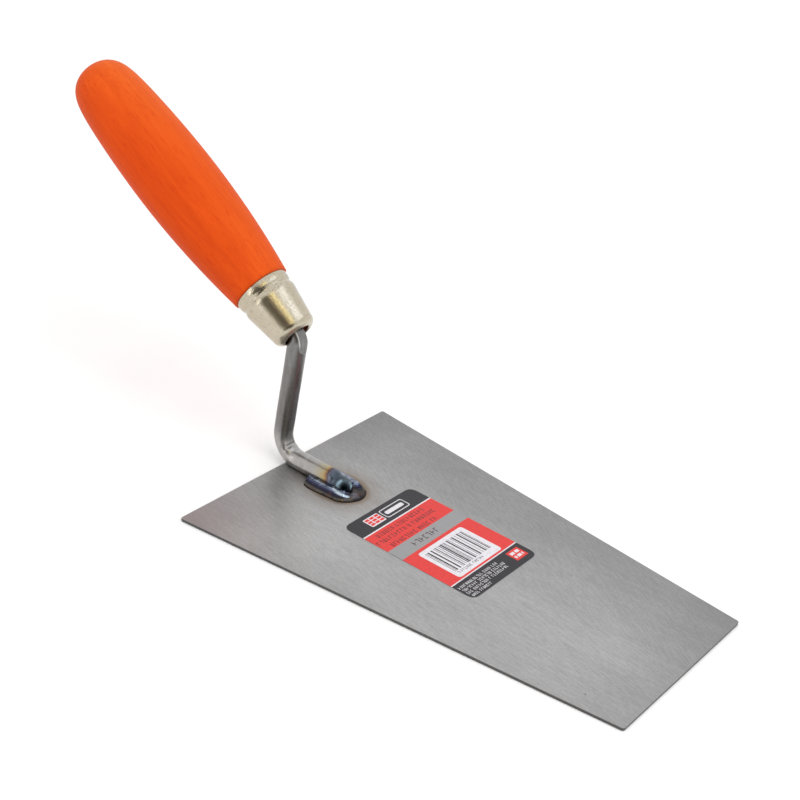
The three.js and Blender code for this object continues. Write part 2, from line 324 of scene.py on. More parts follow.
def forged_steel():
    """Forged bar with mill scale, straw to blue heat tints towards the weld."""
    paint = Paint("forged_steel", Metallic=1.0)
    scale_marks = paint.noise(paint.moved(), 600, 5, 0.62)
    blotches = paint.noise(paint.moved(), 120, 3, 0.5)
    streaks = paint.noise(paint.moved(scale=(900, 900, 70)), 1.0, 3)
    grey = paint.ramp(scale_marks, [(0.3, (0.190, 0.187, 0.183)), (0.7, (0.236, 0.233, 0.229))])
    grey = paint.shade(grey, paint.span(streaks, 0.3, 0.7, 0.88, 1.12))
    riser = paint.span(paint.part(2), TOP + 9 * MM, TOP + 16 * MM)
    color = paint.mix(paint.span(blotches, 0.35, 0.7, 0, 0.3), grey, (0.155, 0.132, 0.118))
    # Painted light: the foot and heel bend, below the riser, are painted 1.85 times lighter than the riser.
    lit_foot = paint.mix(1.0, color, (1.85, 1.84, 1.84), "MULTIPLY")
    color = paint.mix(riser, lit_foot, color)
    along = paint.wander(paint.part(0), blotches, 6 * MM)
    tints = paint.ramp(paint.span(along, HEEL + 14 * MM, HEEL + 32 * MM), [
        (0.0, rgb(170, 166, 160)),
        (0.20, rgb(168, 158, 132)),
        (0.28, rgb(176, 154, 102)),
        (0.35, rgb(142, 104, 66)),
        (0.41, rgb(74, 54, 64)),
        (0.48, rgb(84, 86, 104)),
        (0.58, rgb(66, 82, 100)),
        (0.70, rgb(44, 62, 78)),
        (1.0, rgb(36, 54, 66)),
    ])
    near_weld = paint.span(along, HEEL + 13 * MM, HEEL + 18 * MM)
    color = paint.mix(near_weld, color, paint.mix(0.12, tints, color))
    low = paint.span(paint.part(2), TOP + 3.6 * MM, TOP + 1.4 * MM)
    burnt = paint.math("MULTIPLY", low, paint.span(along, HEEL + 10 * MM, HEEL + 17 * MM))
    color = paint.mix(burnt, color, rgb(30, 30, 38))
    # The melted end: a broken ring of painted highlight round a dark middle that is a painted reflection.
    crater = paint.distance(MELTED_END)
    ring = paint.band(crater, (1.9 * MM, 2.7 * MM), (4.0 * MM, 2.9 * MM))
    broken = paint.span(paint.noise(paint.moved(), 420, 2), 0.40, 0.60, 0.12, 1.0)
    color = paint.mix(paint.product(ring, broken), color, rgb(146, 174, 188))
    color = paint.mix(paint.span(crater, 0.9 * MM, 2.3 * MM, 1, 0), color, rgb(16, 24, 30))
    # A painted highlight along the edge of the hammered flat outside the neck.
    off_edge = paint.math("ABSOLUTE", paint.math("ADD", paint.part(1), 2.25 * MM))
    edge = paint.product(
        paint.span(off_edge, 0.15 * MM, 0.42 * MM, 0.8, 0),
        paint.span(paint.part(2), TOP + 50.5 * MM, TOP + 52 * MM),
        paint.span(paint.part(0), HEEL - 1.5 * MM, HEEL + 0.5 * MM),
    )
    color = paint.mix(edge, color, (0.62, 0.61, 0.60))
    paint.set("Base Color", color)
    paint.set("Roughness", paint.span(scale_marks, 0.3, 0.7, 0.27, 0.36))
    paint.set("Normal", paint.bump(scale_marks, 0.02 * MM, 0.25, paint.bump(blotches, 0.1 * MM, 0.3)))
    return paint.material


def weld_metal():
    """Heat-blued weld bead with a silver painted highlight along its crest, a dark outline and a lilac tip.
    """
    paint = Paint("weld_metal", Metallic=1.0)
    mottle = paint.noise(paint.moved(), 700, 4, 0.6)
    blotch = paint.noise(paint.moved(), 230, 3, 0.5)
    height = paint.wander(paint.part(2), blotch, 0.4 * MM)
    # Colour by height over the bead; the silver at the top is a painted highlight along the crest.
    color = paint.ramp(paint.span(height, TOP, TOP + 3.0 * MM), [
        (0.0, rgb(56, 50, 46)),
        (0.14, rgb(92, 86, 80)),
        (0.30, rgb(62, 58, 60)),
        (0.48, rgb(34, 38, 50)),
        (0.66, rgb(62, 56, 78)),
        (0.76, rgb(52, 60, 82)),
        (0.90, rgb(112, 122, 146)),
        (1.0, rgb(160, 168, 184)),
    ])
    streak = paint.noise(paint.moved(scale=(1, 1, 0.3)), 330, 2)
    color = paint.mix(paint.span(streak, 0.50, 0.66, 0, 0.6), color, rgb(30, 34, 46))
    # A painted highlight: a silver crescent on the near side, in front of the foot's melted end.
    crescent = paint.product(
        paint.band(paint.distance(MELTED_END), (3.7 * MM, 4.1 * MM), (5.1 * MM, 4.6 * MM)),
        paint.span(paint.part(1), -3.0 * MM, -4.0 * MM),
    )
    color = paint.mix(crescent, color, rgb(184, 198, 208))
    from_tip = paint.distance((HEEL + 34.6 * MM, -0.6 * MM, TOP + 1.2 * MM), (0.8, 1, 1))
    tip = paint.product(paint.span(from_tip, 2.6 * MM, 0.8 * MM), paint.span(streak, 0.30, 0.62, 1.0, 0.25))
    lilac = paint.ramp(blotch, [(0.3, rgb(108, 106, 120)), (0.7, rgb(136, 134, 150))])
    color = paint.mix(tip, color, lilac)
    rust = paint.span(paint.noise(paint.moved(location=(3, 1, 2)), 260, 2), 0.60, 0.72, 0, 0.4)
    color = paint.mix(rust, color, rgb(96, 62, 58))
    low = paint.span(paint.part(2), TOP + 0.12 * MM, TOP + 0.45 * MM, 0.9, 0)
    color = paint.mix(low, color, rgb(40, 34, 32))
    color = paint.shade(color, paint.span(mottle, 0.3, 0.7, 0.85, 1.15))
    paint.set("Base Color", color)
    paint.set("Roughness", paint.span(mottle, 0.3, 0.7, 0.14, 0.26))
    paint.set("Normal", paint.bump(mottle, 0.06 * MM, 0.5))
    return paint.material


def nickel_plate():
    """Warm nickel over a pitted pressing."""
    paint = Paint("nickel_plate", Metallic=1.0)
    pits = paint.noise(paint.moved(), 1700, 3, 0.6)
    soft = paint.noise(paint.moved(), 150, 3, 0.5)
    color = paint.ramp(soft, [(0.3, (0.510, 0.455, 0.345)), (0.7, (0.560, 0.508, 0.405))])
    color = paint.mix(paint.span(pits, 0.35, 0.47, 0.45, 0), color, (0.24, 0.18, 0.11))
    # Painted shade: the far side is painted darker.
    color = paint.shade(color, paint.span(paint.part(1), 3.5 * MM, 6.5 * MM, 1.0, 0.80))
    paint.set("Base Color", color)
    paint.set("Roughness", paint.span(pits, 0.3, 0.7, 0.22, 0.11))
    paint.set("Normal", paint.bump(pits, 0.1 * MM, 0.75, paint.bump(soft, 0.15 * MM, 0.3)))
    return paint.material


def lacquered_wood():
    """Orange stain under a satin lacquer, with grain along the handle, painted light on its far side and
    towards the butt; painted dark inside the ferrule.
    """
    paint = Paint("lacquered_wood", Metallic=0.0)
    along = paint.moved(turn=(0, -math.degrees(HANDLE_TILT), 0))
    grain = paint.noise(paint.moved(scale=(28, 420, 420), source=along), 1.0, 4, 0.6, 0.6)
    pores = paint.noise(paint.moved(scale=(160, 1900, 1900), source=along), 1.0, 2, 0.5)
    clouds = paint.noise(paint.moved(scale=(14, 45, 45), source=along), 1.0, 3, 0.5)
    # Painted light and shade: a lighter, yellower copy of the stain on the far side, more so towards the
    # butt, over a darker copy; the whole handle is painted a little lighter towards the butt.
    shaded_stain = paint.ramp(grain, [
        (0.25, (0.54, 0.046, 0.0020)), (0.55, (0.625, 0.058, 0.0030)), (0.8, (0.69, 0.073, 0.0050)),
    ])
    lit_stain = paint.ramp(grain, [
        (0.25, (0.60, 0.088, 0.012)), (0.55, (0.67, 0.112, 0.015)), (0.8, (0.73, 0.136, 0.020)),
    ])
    butt_end = HEEL - 105 * MM
    ferrule_end = HEEL - 35 * MM
    painted_light_share = paint.product(
        paint.span(paint.part(1), -20 * MM, 3 * MM),
        paint.span(paint.part(0), butt_end, ferrule_end, 1.0, 0.60),
    )
    color = paint.mix(painted_light_share, shaded_stain, lit_stain)
    color = paint.shade(color, paint.span(paint.part(0), butt_end, ferrule_end, 1.04, 0.99))
    color = paint.mix(paint.span(clouds, 0.4, 0.7, 0, 0.35), color, (0.62, 0.064, 0.004))
    color = paint.mix(paint.span(pores, 0.32, 0.42, 0.42, 0), color, (0.50, 0.03, 0.004))
    # The wood inside the ferrule's nose painted dark.
    inside = paint.span(paint.distance(tuple(nose_place())), 11.5 * MM, 12.5 * MM, 1, 0)
    color = paint.mix(inside, color, (0.13, 0.022, 0.010))
    paint.set("Base Color", color)
    paint.set("Roughness", paint.span(grain, 0.3, 0.7, 0.46, 0.56))
    paint.set("Specular IOR Level", 0.06)
    paint.set("Normal", paint.bump(pores, 0.03 * MM, 0.4, paint.bump(grain, 0.12 * MM, 0.35)))
    return paint.material


PRINT_WEAR = 0.06


def printed(name, color):
    """Ink on label film, with a faint mottle and wrinkles."""
    paint = Paint(name, Metallic=0.0)
    mottle = paint.noise(paint.moved(), 700, 3, 0.6)
    wrinkle = paint.noise(paint.moved(scale=(1, 1, 0.2)), 90, 3, 0.5)
    darker = tuple(one * (1 - PRINT_WEAR * 2) for one in color)
    lighter = tuple(min(1.0, one * (1 + PRINT_WEAR)) for one in color)
    paint.set("Base Color", paint.ramp(mottle, [(0.3, darker), (0.7, lighter)]))
    paint.set("Roughness", paint.span(mottle, 0.3, 0.7, 0.36, 0.48))
    paint.set("Specular IOR Level", 0.3)
    paint.set("Normal", paint.bump(wrinkle, 0.2 * MM, 0.35))
    return paint.material


def clear_film():
    """The unprinted part of the label: steel seen through thin glossy film."""
    paint = Paint("clear_film", Metallic=0.85)
    marks = paint.streaks((0, 0, -8), 45, 2200)
    color = paint.ramp(marks, [(0.3, (0.305, 0.300, 0.308)), (0.7, (0.350, 0.345, 0.353))])
    paint.set("Base Color", color)
    paint.set("Roughness", paint.span(marks, 0.3, 0.7, 0.4, 0.5))
    paint.set("Coat Weight", 0.3)
    paint.set("Coat Roughness", 0.15)
    return paint.material


def studio_floor():
    paint = Paint("studio_floor", Metallic=0.0, Roughness=0.9)
    soft = paint.noise(paint.moved(), 30, 2)
    paint.set("Base Color", paint.ramp(soft, [(0.3, (0.88, 0.88, 0.88)), (0.7, (0.90, 0.90, 0.90))]))
    return paint.material


# ------------------------------------------------------------------- meshes


def add_piece(name, mesh, node, slot, *materials):
    """Puts a mesh in the scene as the looks of one CAD node."""
    piece = bpy.data.objects.new(name, mesh)
    bpy.context.scene.collection.objects.link(piece)
    for one in materials:
        mesh.materials.append(one)
    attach(piece, "root")
    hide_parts(node)


def mesh_from_rings(name, rings, loop=False, smooth=True):
    """A closed skin over rings of points. A ring of one point closes the skin there."""
    made = bmesh.new()
    rows = [[made.verts.new(point) for point in ring] for ring in rings]
    pairs = list(zip(rows, rows[1:]))
    if loop:
        pairs.append((rows[-1], rows[0]))
    for first, second in pairs:
        count = max(len(first), len(second))
        for index in range(count):
            after = (index + 1) % count
            if len(first) == 1:
                made.faces.new((first[0], second[after], second[index]))
            elif len(second) == 1:
                made.faces.new((first[index], first[after], second[0]))
            else:
                made.faces.new((first[index], first[after], second[after], second[index]))
    if not loop and len(rows[0]) > 1:
        made.faces.new(list(reversed(rows[0])))
    if not loop and len(rows[-1]) > 1:
        made.faces.new(rows[-1])
    bmesh.ops.recalc_face_normals(made, faces=made.faces)
    for face in made.faces:
        face.smooth = smooth
    mesh = bpy.data.meshes.new(name)
    made.to_mesh(mesh)
    made.free()
    return mesh


def smooth_curve(points, steps):
    """Points on a Catmull-Rom curve through the given tuples."""
    ends = [points[0], *points, points[-1]]
    curve = []
    for index in range(1, len(ends) - 2):
        before, start, end, after = (Vector((*p, 0)) for p in ends[index - 1:index + 3])
        for step in range(steps):
            t = step / steps
            curve.append((
                0.5 * (2 * start + (end - before) * t + (2 * before - 5 * start + 4 * end - after) * t ** 2
                       + (3 * start - before - 3 * end + after) * t ** 3)
            ).to_tuple()[:2])
    curve.append(tuple(points[-1]))
    return curve


# Blade.
def rounded_outline(corners, radius, steps=6):
    """A polygon's outline with each corner rounded off."""
    outline = []
    for index, corner in enumerate(corners):
        before = corners[index - 1]
        after = corners[(index + 1) % len(corners)]
        start = corner + (before - corner).normalized() * radius
        end = corner + (after - corner).normalized() * radius
        for step in range(steps + 1):
            t = step / steps
            outline.append(start.lerp(corner, t).lerp(corner.lerp(end, t), t))
    return outline


def shrunk(outline, amount):
    """The outline moved inwards by an amount, for a convex outline that runs anticlockwise."""
    inner = []
    for index, point in enumerate(outline):
        along = (outline[(index + 1) % len(outline)] - outline[index - 1]).normalized()
        inner.append(point + Vector((-along.y, along.x)) * amount)
    return inner


def build_blade():
    corners = [
        Vector((HEEL, -HEEL_WIDTH / 2)),
        Vector((TOE, -TOE_WIDTH / 2)),
        Vector((TOE, TOE_WIDTH / 2)),
        Vector((HEEL, HEEL_WIDTH / 2)),
    ]
    outline = rounded_outline(corners, CORNER_RADIUS)
    inner = shrunk(outline, EDGE_BEVEL)
    rings = [
        [Vector((*p, 0)) for p in inner],
        [Vector((*p, EDGE_BEVEL)) for p in outline],
        [Vector((*p, TOP - EDGE_BEVEL)) for p in outline],
        [Vector((*p, TOP)) for p in inner],
    ]
    mesh = mesh_from_rings("blade_sheet", rings, smooth=False)
    add_piece("blade_sheet", mesh, "blade", "ground_steel", ground_steel())


# Label, in millimetres from the heel along X and across Y.
LABEL_HEEL_END = 45.0
LABEL_TOE_END = 105.5
LABEL_NEAR = -20.05
LABEL_FAR = 20.95
LABEL_CORNER = 3.5
LABEL_BOTTOM = 0.0
LABEL_TOP = 0.1
BLACK, WHITE, RED, FILM, INK = range(5)


def box_shape(x0, x1, y0, y1, radius=0.0):
    """The outline of a rectangle, with round corners if a radius is given."""
    corners = [Vector((x0, y0)), Vector((x1, y0)), Vector((x1, y1)), Vector((x0, y1))]
    return rounded_outline(corners, radius, 4) if radius else corners


def mark_line(draw, x0, x1, y_start, y_end, words, ink, weight=0.32):
    """A line of made-up marks that stand for lettering; it runs towards +Y and up is towards -X."""
    shapes = []
    pitch = (x1 - x0) * 0.86
    position = y_start
    for word in words:
        for _ in range(word):
            if position + pitch * 0.62 > y_end:
                return shapes
            wide = pitch * 0.62
            strokes = draw.choice(("lt", "lm", "lb", "lr", "ltb", "lrm", "rt", "lrb", "tmb"))
            if "l" in strokes:
                shapes.append((box_shape(x0, x1, position, position + weight), ink))
            if "r" in strokes:
                shapes.append((box_shape(x0, x1, position + wide - weight, position + wide), ink))
            if "t" in strokes:
                shapes.append((box_shape(x0, x0 + weight, position, position + wide), ink))
            if "m" in strokes:
                start = (x0 + x1 - weight) / 2
                shapes.append((box_shape(start, start + weight, position, position + wide), ink))
            if "b" in strokes:
                shapes.append((box_shape(x1 - weight, x1, position, position + wide), ink))
            position += pitch
        position += pitch * 0.6
    return shapes


def label_art():
    """Outlines of the label's printed areas; a later one lies over an earlier one."""
    draw = random.Random(11)
    shapes = [
        (box_shape(LABEL_HEEL_END, 54.6, LABEL_NEAR, LABEL_FAR), BLACK),
        (box_shape(54.6, 55.2, LABEL_NEAR, LABEL_FAR), WHITE),
        (box_shape(55.2, 66.4, LABEL_NEAR, LABEL_FAR), RED),
        (box_shape(66.4, 73.2, LABEL_NEAR, LABEL_FAR), FILM),
        (box_shape(73.2, 95.2, LABEL_NEAR, LABEL_FAR), RED),
        (box_shape(95.2, 95.7, LABEL_NEAR, LABEL_FAR), WHITE),
        (box_shape(95.7, LABEL_TOE_END, LABEL_NEAR, LABEL_FAR), BLACK),
    ]
    # Made-up emblem: rows of bricks beside a plain bar.
    shapes.append((box_shape(47.2, 52.6, -11.5, -3.2, 0.6), WHITE))
    for row in range(3):
        x0 = 47.7 + 1.55 * row
        for column in range(3):
            y0 = -11.0 + 2.65 * column
            shapes.append((box_shape(x0, x0 + 1.2, y0, y0 + 2.2), RED))
    shapes.append((box_shape(47.2, 52.6, -2.2, 11.6, 1.2), WHITE))
    shapes.append((box_shape(47.6, 52.2, -1.8, 11.2, 0.9), BLACK))
    shapes.append((box_shape(48.9, 50.9, -0.6, 9.9, 0.8), WHITE))
    # Three lines of dark marks on red, one on clear film.
    shapes += mark_line(draw, 56.5, 58.5, -15.4, 13.7, (6, 11), INK)
    shapes += mark_line(draw, 59.9, 61.9, -19.0, 15.4, (10, 1, 9), INK)
    shapes += mark_line(draw, 63.7, 65.7, -15.7, 14.6, (9, 4, 2), INK)
    shapes += mark_line(draw, 68.4, 71.0, -9.0, 8.4, (7,), INK, 0.4)
    # White panel with plain stripes.
    shapes.append((box_shape(74.8, 94.3, -13.2, 13.8, 1.5), WHITE))
    position = -11.2
    while position < 11.4:
        wide = draw.choice((0.25, 0.25, 0.5, 0.75))
        shapes.append((box_shape(76.8, 90.8, position, position + wide), BLACK))
        position += wide + draw.choice((0.3, 0.5, 0.8, 1.1))
    shapes += mark_line(draw, 91.4, 92.7, -11.0, 11.0, (1, 6, 6), BLACK, 0.22)
    # A small emblem of bricks and four lines of small white marks.
    shapes.append((box_shape(97.2, 102.9, 11.6, 18.6), RED))
    bricks = (
        (98.2, 12.6, 14.9), (98.2, 15.5, 17.6),
        (100.4, 12.6, 13.6), (100.4, 14.2, 16.4), (100.4, 17.0, 17.6),
    )
    for x0, y0, y1 in bricks:
        shapes.append((box_shape(x0, x0 + 1.4, y0, y1), WHITE))
    shapes += mark_line(draw, 97.4, 98.7, -19.0, 5.3, (13, 4, 4), WHITE, 0.2)
    shapes += mark_line(draw, 99.3, 100.6, -19.0, 8.0, (8, 7, 7), WHITE, 0.2)
    shapes += mark_line(draw, 101.2, 102.5, -19.0, 9.4, (3, 8, 1, 9), WHITE, 0.2)
    shapes += mark_line(draw, 103.2, 104.4, -18.5, -5.0, (4, 7), WHITE, 0.2)
    return shapes


def build_label():
    shapes = label_art()
    outline = box_shape(LABEL_HEEL_END, LABEL_TOE_END, LABEL_NEAR, LABEL_FAR, LABEL_CORNER)
    points = list(outline)
    faces = [list(range(len(outline)))]
    for shape, _ in shapes:
        faces.append(list(range(len(points), len(points) + len(shape))))
        points += shape
    verts, _, triangles, _, _, sources = delaunay_2d_cdt(points, [], faces, 0, 1e-4)
    made = bmesh.new()
    heel = HEEL / MM

    def at(point, height):
        return made.verts.new(Vector((heel + point.x, point.y, 0)) * MM + Vector((0, 0, TOP + height * MM)))

    upper = {}
    lower = {}
    for triangle, source in zip(triangles, sources):
        if 0 not in source:
            continue
        for index in triangle:
            if index not in upper:
                upper[index] = at(verts[index], LABEL_TOP)
                lower[index] = at(verts[index], LABEL_BOTTOM)
        top = made.faces.new([upper[index] for index in triangle])
        bottom = made.faces.new([lower[index] for index in reversed(triangle)])
        top.material_index = shapes[max(source) - 1][1] if max(source) else BLACK
        bottom.material_index = FILM
    matching = {upper[index]: lower[index] for index in upper}
    for edge in [one for one in made.edges if one.is_boundary and one.verts[0] in matching]:
        first, second = edge.verts
        side = made.faces.new((first, second, matching[second], matching[first]))
        side.material_index = FILM
    bmesh.ops.recalc_face_normals(made, faces=made.faces)
    mesh = bpy.data.meshes.new("label_sheet")
    made.to_mesh(mesh)
    made.free()
    add_piece(
        "label_sheet", mesh, "label", "label_film",
        printed("label_black", rgb(38, 37, 41)),
        printed("label_white", rgb(213, 210, 215)),
        printed("label_red", rgb(209, 52, 48)),
        clear_film(),
        printed("label_ink", rgb(60, 28, 34)),
    )


# Shank.
FOOT_STEPS = 60
HEEL_BEND_STEPS = 40
RISER_STEPS = 110
NECK_BEND_STEPS = 18
TANG_STEPS = 12
BAR_SIDES = 72
FLAT_TILTS = (25, 155)
FLAT_SHARE = 0.075
FOOT_SUNK_SHARE = 0.30
HEEL_SQUEEZE = 1.15 * MM
NECK_FLAT_DEPTH = 0.85 * MM
NECK_FLAT_START = -4.2 * MM
NECK_FLAT_BOW = 1.2 * MM
NECK_FLAT_STEP = 0.6 * MM
WAIST_DEPTH = 0.32 * MM
WAIST_PLACE = 6.8 * MM
WAIST_REACH = 1.2 * MM


def bend_points(before, corner, after, radius, steps):
    """A round bend in the XZ plane that leaves one leg and joins the next."""
    inward = (before - corner).normalized()
    onward = (after - corner).normalized()
    turn = math.pi - inward.angle(onward)
    tangent = radius * math.tan(turn / 2)
    centre = corner + (inward + onward).normalized() * (radius / math.cos(turn / 2))
    start = corner + inward * tangent - centre
    spin = Vector((0, 1, 0)) if inward.cross(onward).y < 0 else Vector((0, -1, 0))
    return [centre + Matrix.Rotation(turn * step / steps, 3, spin) @ start for step in range(steps + 1)]


def shank_line():
    """The bar's centre line: its two ends and the points of its two bends."""
    foot_height = TOP + FOOT_CENTRE
    foot_corner = Vector((HEEL - RISER_BEHIND_HEEL, 0, foot_height))
    neck = Vector((
        foot_corner.x + (NECK_HEIGHT - foot_height) * math.tan(RISER_LEAN), 0, NECK_HEIGHT,
    ))
    toe = Vector((HEEL + FOOT_LENGTH, 0, foot_height))
    tang_end = neck + axis_direction() * TANG_SHOWN
    heel_bend = bend_points(toe, foot_corner, neck, HEEL_BEND_RADIUS, HEEL_BEND_STEPS)
    neck_bend = bend_points(foot_corner, neck, tang_end, NECK_BEND_RADIUS, NECK_BEND_STEPS)
    return toe, heel_bend, neck_bend, tang_end


def smooth_share(value, low, high):
    share = min(1.0, max(0.0, (value - low) / (high - low)))
    return share * share * (3 - 2 * share)


def bar_ring(point, along, radius, neck_past, squeeze):
    """One section of the bar, round except for its forged flats.

    neck_past is the distance past the neck, outside which the bar is hammered flat. squeeze is how
    far the bar is pressed in on the inside of its heel.
    """
    inner = -along.cross(Vector((0, 1, 0)))
    ring = []
    foot = smooth_share(point.x, HEEL - 1 * MM, HEEL + 6 * MM)
    sunk = smooth_share(point.x, HEEL + 21 * MM, HEEL + 29 * MM)
    for side in range(BAR_SIDES):
        turn = 2 * math.pi * side / BAR_SIDES
        reach = radius
        # Two flats on the foot, one to each side of a blunt ridge along its top.
        for tilt in FLAT_TILTS:
            lean = math.cos(turn - math.radians(tilt))
            flat = radius * (1 - FLAT_SHARE * foot)
            if lean * reach > flat:
                reach = flat / lean
        aside = reach * math.cos(turn)
        # The hammered flat starts at a bowed step.
        step = NECK_FLAT_START - NECK_FLAT_BOW * (1 - (aside / (0.7 * radius)) ** 2)
        flat_depth = radius - NECK_FLAT_DEPTH * smooth_share(neck_past, step, step + NECK_FLAT_STEP)
        inward = min(reach * math.sin(turn), flat_depth)
        if inward > 0:
            inward -= squeeze * HEEL_SQUEEZE * (inward / radius) ** 2
        spot = point + inner * inward - Vector((0, aside, 0))
        rough = noise.noise(spot * 300) * 0.02 * MM + noise.noise(spot * 110 + Vector((7, 3, 1))) * 0.06 * MM
        spot += (spot - point).normalized() * rough
        if sunk:
            spot.z = TOP + FOOT_GAP + (spot.z - TOP - FOOT_GAP) * (1 - FOOT_SUNK_SHARE * sunk)
        spot.z = max(spot.z, TOP + FOOT_GAP)
        ring.append(spot)
    return ring


def build_shank():
    toe, heel_bend, neck_bend, tang_end = shank_line()
    line = []

    def straight(start, end, steps):
        line.extend(start.lerp(end, step / steps) for step in range(steps))

    straight(toe, heel_bend[0], FOOT_STEPS)
    line.extend(heel_bend[:-1])
    straight(heel_bend[-1], neck_bend[0], RISER_STEPS)
    line.extend(neck_bend[:-1])
    straight(neck_bend[-1], tang_end, TANG_STEPS)
    line.append(tang_end)
    heel_end = FOOT_STEPS + HEEL_BEND_STEPS
    neck_middle = heel_end + RISER_STEPS + NECK_BEND_STEPS // 2
    travelled = [0.0]
    for first, second in zip(line, line[1:]):
        travelled.append(travelled[-1] + (second - first).length)
    bend_start = travelled[FOOT_STEPS]
    bend_end = travelled[heel_end]
    rings = []
    for index, point in enumerate(line):
        along = (line[min(index + 1, len(line) - 1)] - line[max(index - 1, 0)]).normalized()
        distance = travelled[index]
        past = distance - travelled[neck_middle]
        radius = BAR_RADIUS
        if distance < BAR_RADIUS:
            radius = BAR_RADIUS * math.sqrt(max(0.0004, 1 - (1 - distance / BAR_RADIUS) ** 2))
        # A waist behind the melted end.
        radius -= WAIST_DEPTH * math.exp(-((distance - WAIST_PLACE) / WAIST_REACH) ** 2)
        # The bar thins towards the tang.
        radius -= 0.5 * MM * smooth_share(past, -3 * MM, 1.5 * MM)
        radius -= 0.7 * MM * smooth_share(past, 2 * MM, 6 * MM)
        share = min(1.0, max(0.0, (distance - bend_start) / (bend_end - bend_start)))
        kink = math.sin(math.pi * share) ** 2
        crease = math.exp(-((share - 0.52) / 0.045) ** 2)
        lip = math.exp(-((share - 0.40) / 0.05) ** 2)
        rings.append(bar_ring(point, along, radius, past, kink + 0.45 * crease - 0.35 * lip))
    mesh = mesh_from_rings("shank_bar", rings)
    add_piece("shank_bar", mesh, "shank", "forged_steel", forged_steel())


# Weld bead: its outer edge on the blade, in millimetres from the heel, round the foot's end.
WELD_EDGE = (
    (16.4, -4.7), (14.9, -6.8), (15.6, -8.8), (18.5, -9.6), (21.5, -9.5), (26.7, -9.0), (32.0, -8.3),
    (35.4, -5.7), (37.3, -2.4), (37.7, 0.4), (36.9, 3.4), (35.0, 6.0), (31.6, 7.8), (27.0, 8.7),
    (22.5, 9.1), (18.4, 9.2), (15.6, 8.6), (14.7, 7.0), (14.6, 5.0),
)
WELD_INNER_END = 30.6
WELD_INNER_HALF = 3.7
WELD_CREST = 2.6
WELD_CREST_SHARE = 0.66
WELD_NOSE_REACH = 6.5
WELD_TIP_DROP = 1.7
WELD_TAIL_POINTS = 20
WELD_STEPS = 18


def build_weld():
    outer = smooth_curve(WELD_EDGE, 10)
    total = len(outer) - 1
    rings = []
    for index, (x, y) in enumerate(outer):
        # The matching point on the bar's side, round the end of the foot.
        inner_x = min(x, WELD_INNER_END)
        past = max(0.0, min(1.0, (x - WELD_INNER_END) / WELD_NOSE_REACH))
        inner_y = max(-WELD_INNER_HALF, min(WELD_INNER_HALF, y)) * (1 - past ** 1.5)
        start = Vector((x, y, 0))
        end = Vector((inner_x, inner_y, 0))
        at_tail = min(1.0, min(index, total - index) / WELD_TAIL_POINTS)
        tail = math.sqrt(max(0.0, 1 - (1 - at_tail) ** 2))
        tip = smooth_share(x, 32.5, 36.5) if y > -4 else 0.6 * smooth_share(x, 33.5, 36.5)
        crest = (WELD_CREST - WELD_TIP_DROP * tip) * (0.2 + 0.8 * tail)
        ripple = 0.05 * math.sin(index * 0.8 + 2 * noise.noise(Vector((x * 0.4, y * 0.4, 5))))
        ring = []
        for step in range(WELD_STEPS + 1):
            share = step / WELD_STEPS
            if share < WELD_CREST_SHARE:
                rise = math.sin(share / WELD_CREST_SHARE * math.pi / 2) ** 1.05
            else:
                fall = math.sin((share - WELD_CREST_SHARE) / (1 - WELD_CREST_SHARE) * math.pi / 2) ** 2
                rise = 1 - 0.05 * fall * (1 - 0.6 * tip)
            place = start.lerp(end, share)
            bumpy = noise.noise(Vector((place.x * 0.55, place.y * 0.55, 2)))
            height = (crest + ripple + bumpy * 0.12) * rise
            ring.append(Vector(((HEEL / MM + place.x) * MM, place.y * MM, TOP + max(0.0, height) * MM)))
        ring.append(Vector(((HEEL / MM + end.x) * MM, end.y * MM, TOP)))
        rings.append(ring)
    mesh = mesh_from_rings("weld_bead_metal", rings)
    add_piece("weld_bead_metal", mesh, "weld_bead", "weld_metal", weld_metal())


# Ferrule and handle.
def nose_place():
    """The middle of the ferrule's nose: where its hole just clears the bar's bend."""
    _, heel_bend, _, tang_end = shank_line()
    neck = tang_end - axis_direction() * TANG_SHOWN
    riser = (neck - heel_bend[-1]).normalized()
    turn = riser.angle(axis_direction())
    past = (TANG_RADIUS + GAP) / math.sin(turn) - HOLE_RADIUS / math.tan(turn)
    return neck + axis_direction() * past


def turned(name, profile, sides, loop=False, shape=None):
    """A mesh turned about the handle's axis from (radius, height) points."""
    origin = nose_place()
    axis = axis_direction()
    across = Vector((0, 1, 0))
    up = axis.cross(across)
    rings = []
    for radius, height in profile:
        middle = origin + axis * height
        if radius < 1e-7:
            rings.append([middle])
            continue
        ring = []
        for side in range(sides):
            turn = 2 * math.pi * side / sides
            out = across * math.cos(turn) + up * math.sin(turn)
            extra = shape(middle + out * radius) if shape else 0
            ring.append(middle + out * (radius + extra))
        rings.append(ring)
    return mesh_from_rings(name, rings, loop=loop)


def shell_profile(inset):
    """The ferrule's outside from its nose to its open end, moved in by an inset."""
    points = []
    for step in range(13):
        angle = math.pi / 2 * step / 12
        points.append((
            NOSE_RING_RADIUS + (NOSE_ROUNDING - inset) * math.sin(angle),
            NOSE_ROUNDING - (NOSE_ROUNDING - inset) * math.cos(angle),
        ))
    start_radius = NOSE_RING_RADIUS + NOSE_ROUNDING
    for step in range(1, 16):
        share = step / 16
        points.append((
            start_radius + (SHOULDER[0] - start_radius) * share - inset,
            NOSE_ROUNDING + (SHOULDER[1] - NOSE_ROUNDING) * share,
        ))
    knots = [SHOULDER, SHOULDER_EDGE, GROOVE, COLLAR_EDGE, COLLAR, (COLLAR[0], FERRULE_LENGTH)]
    return points + smooth_curve([(radius - inset, height) for radius, height in knots], 8)


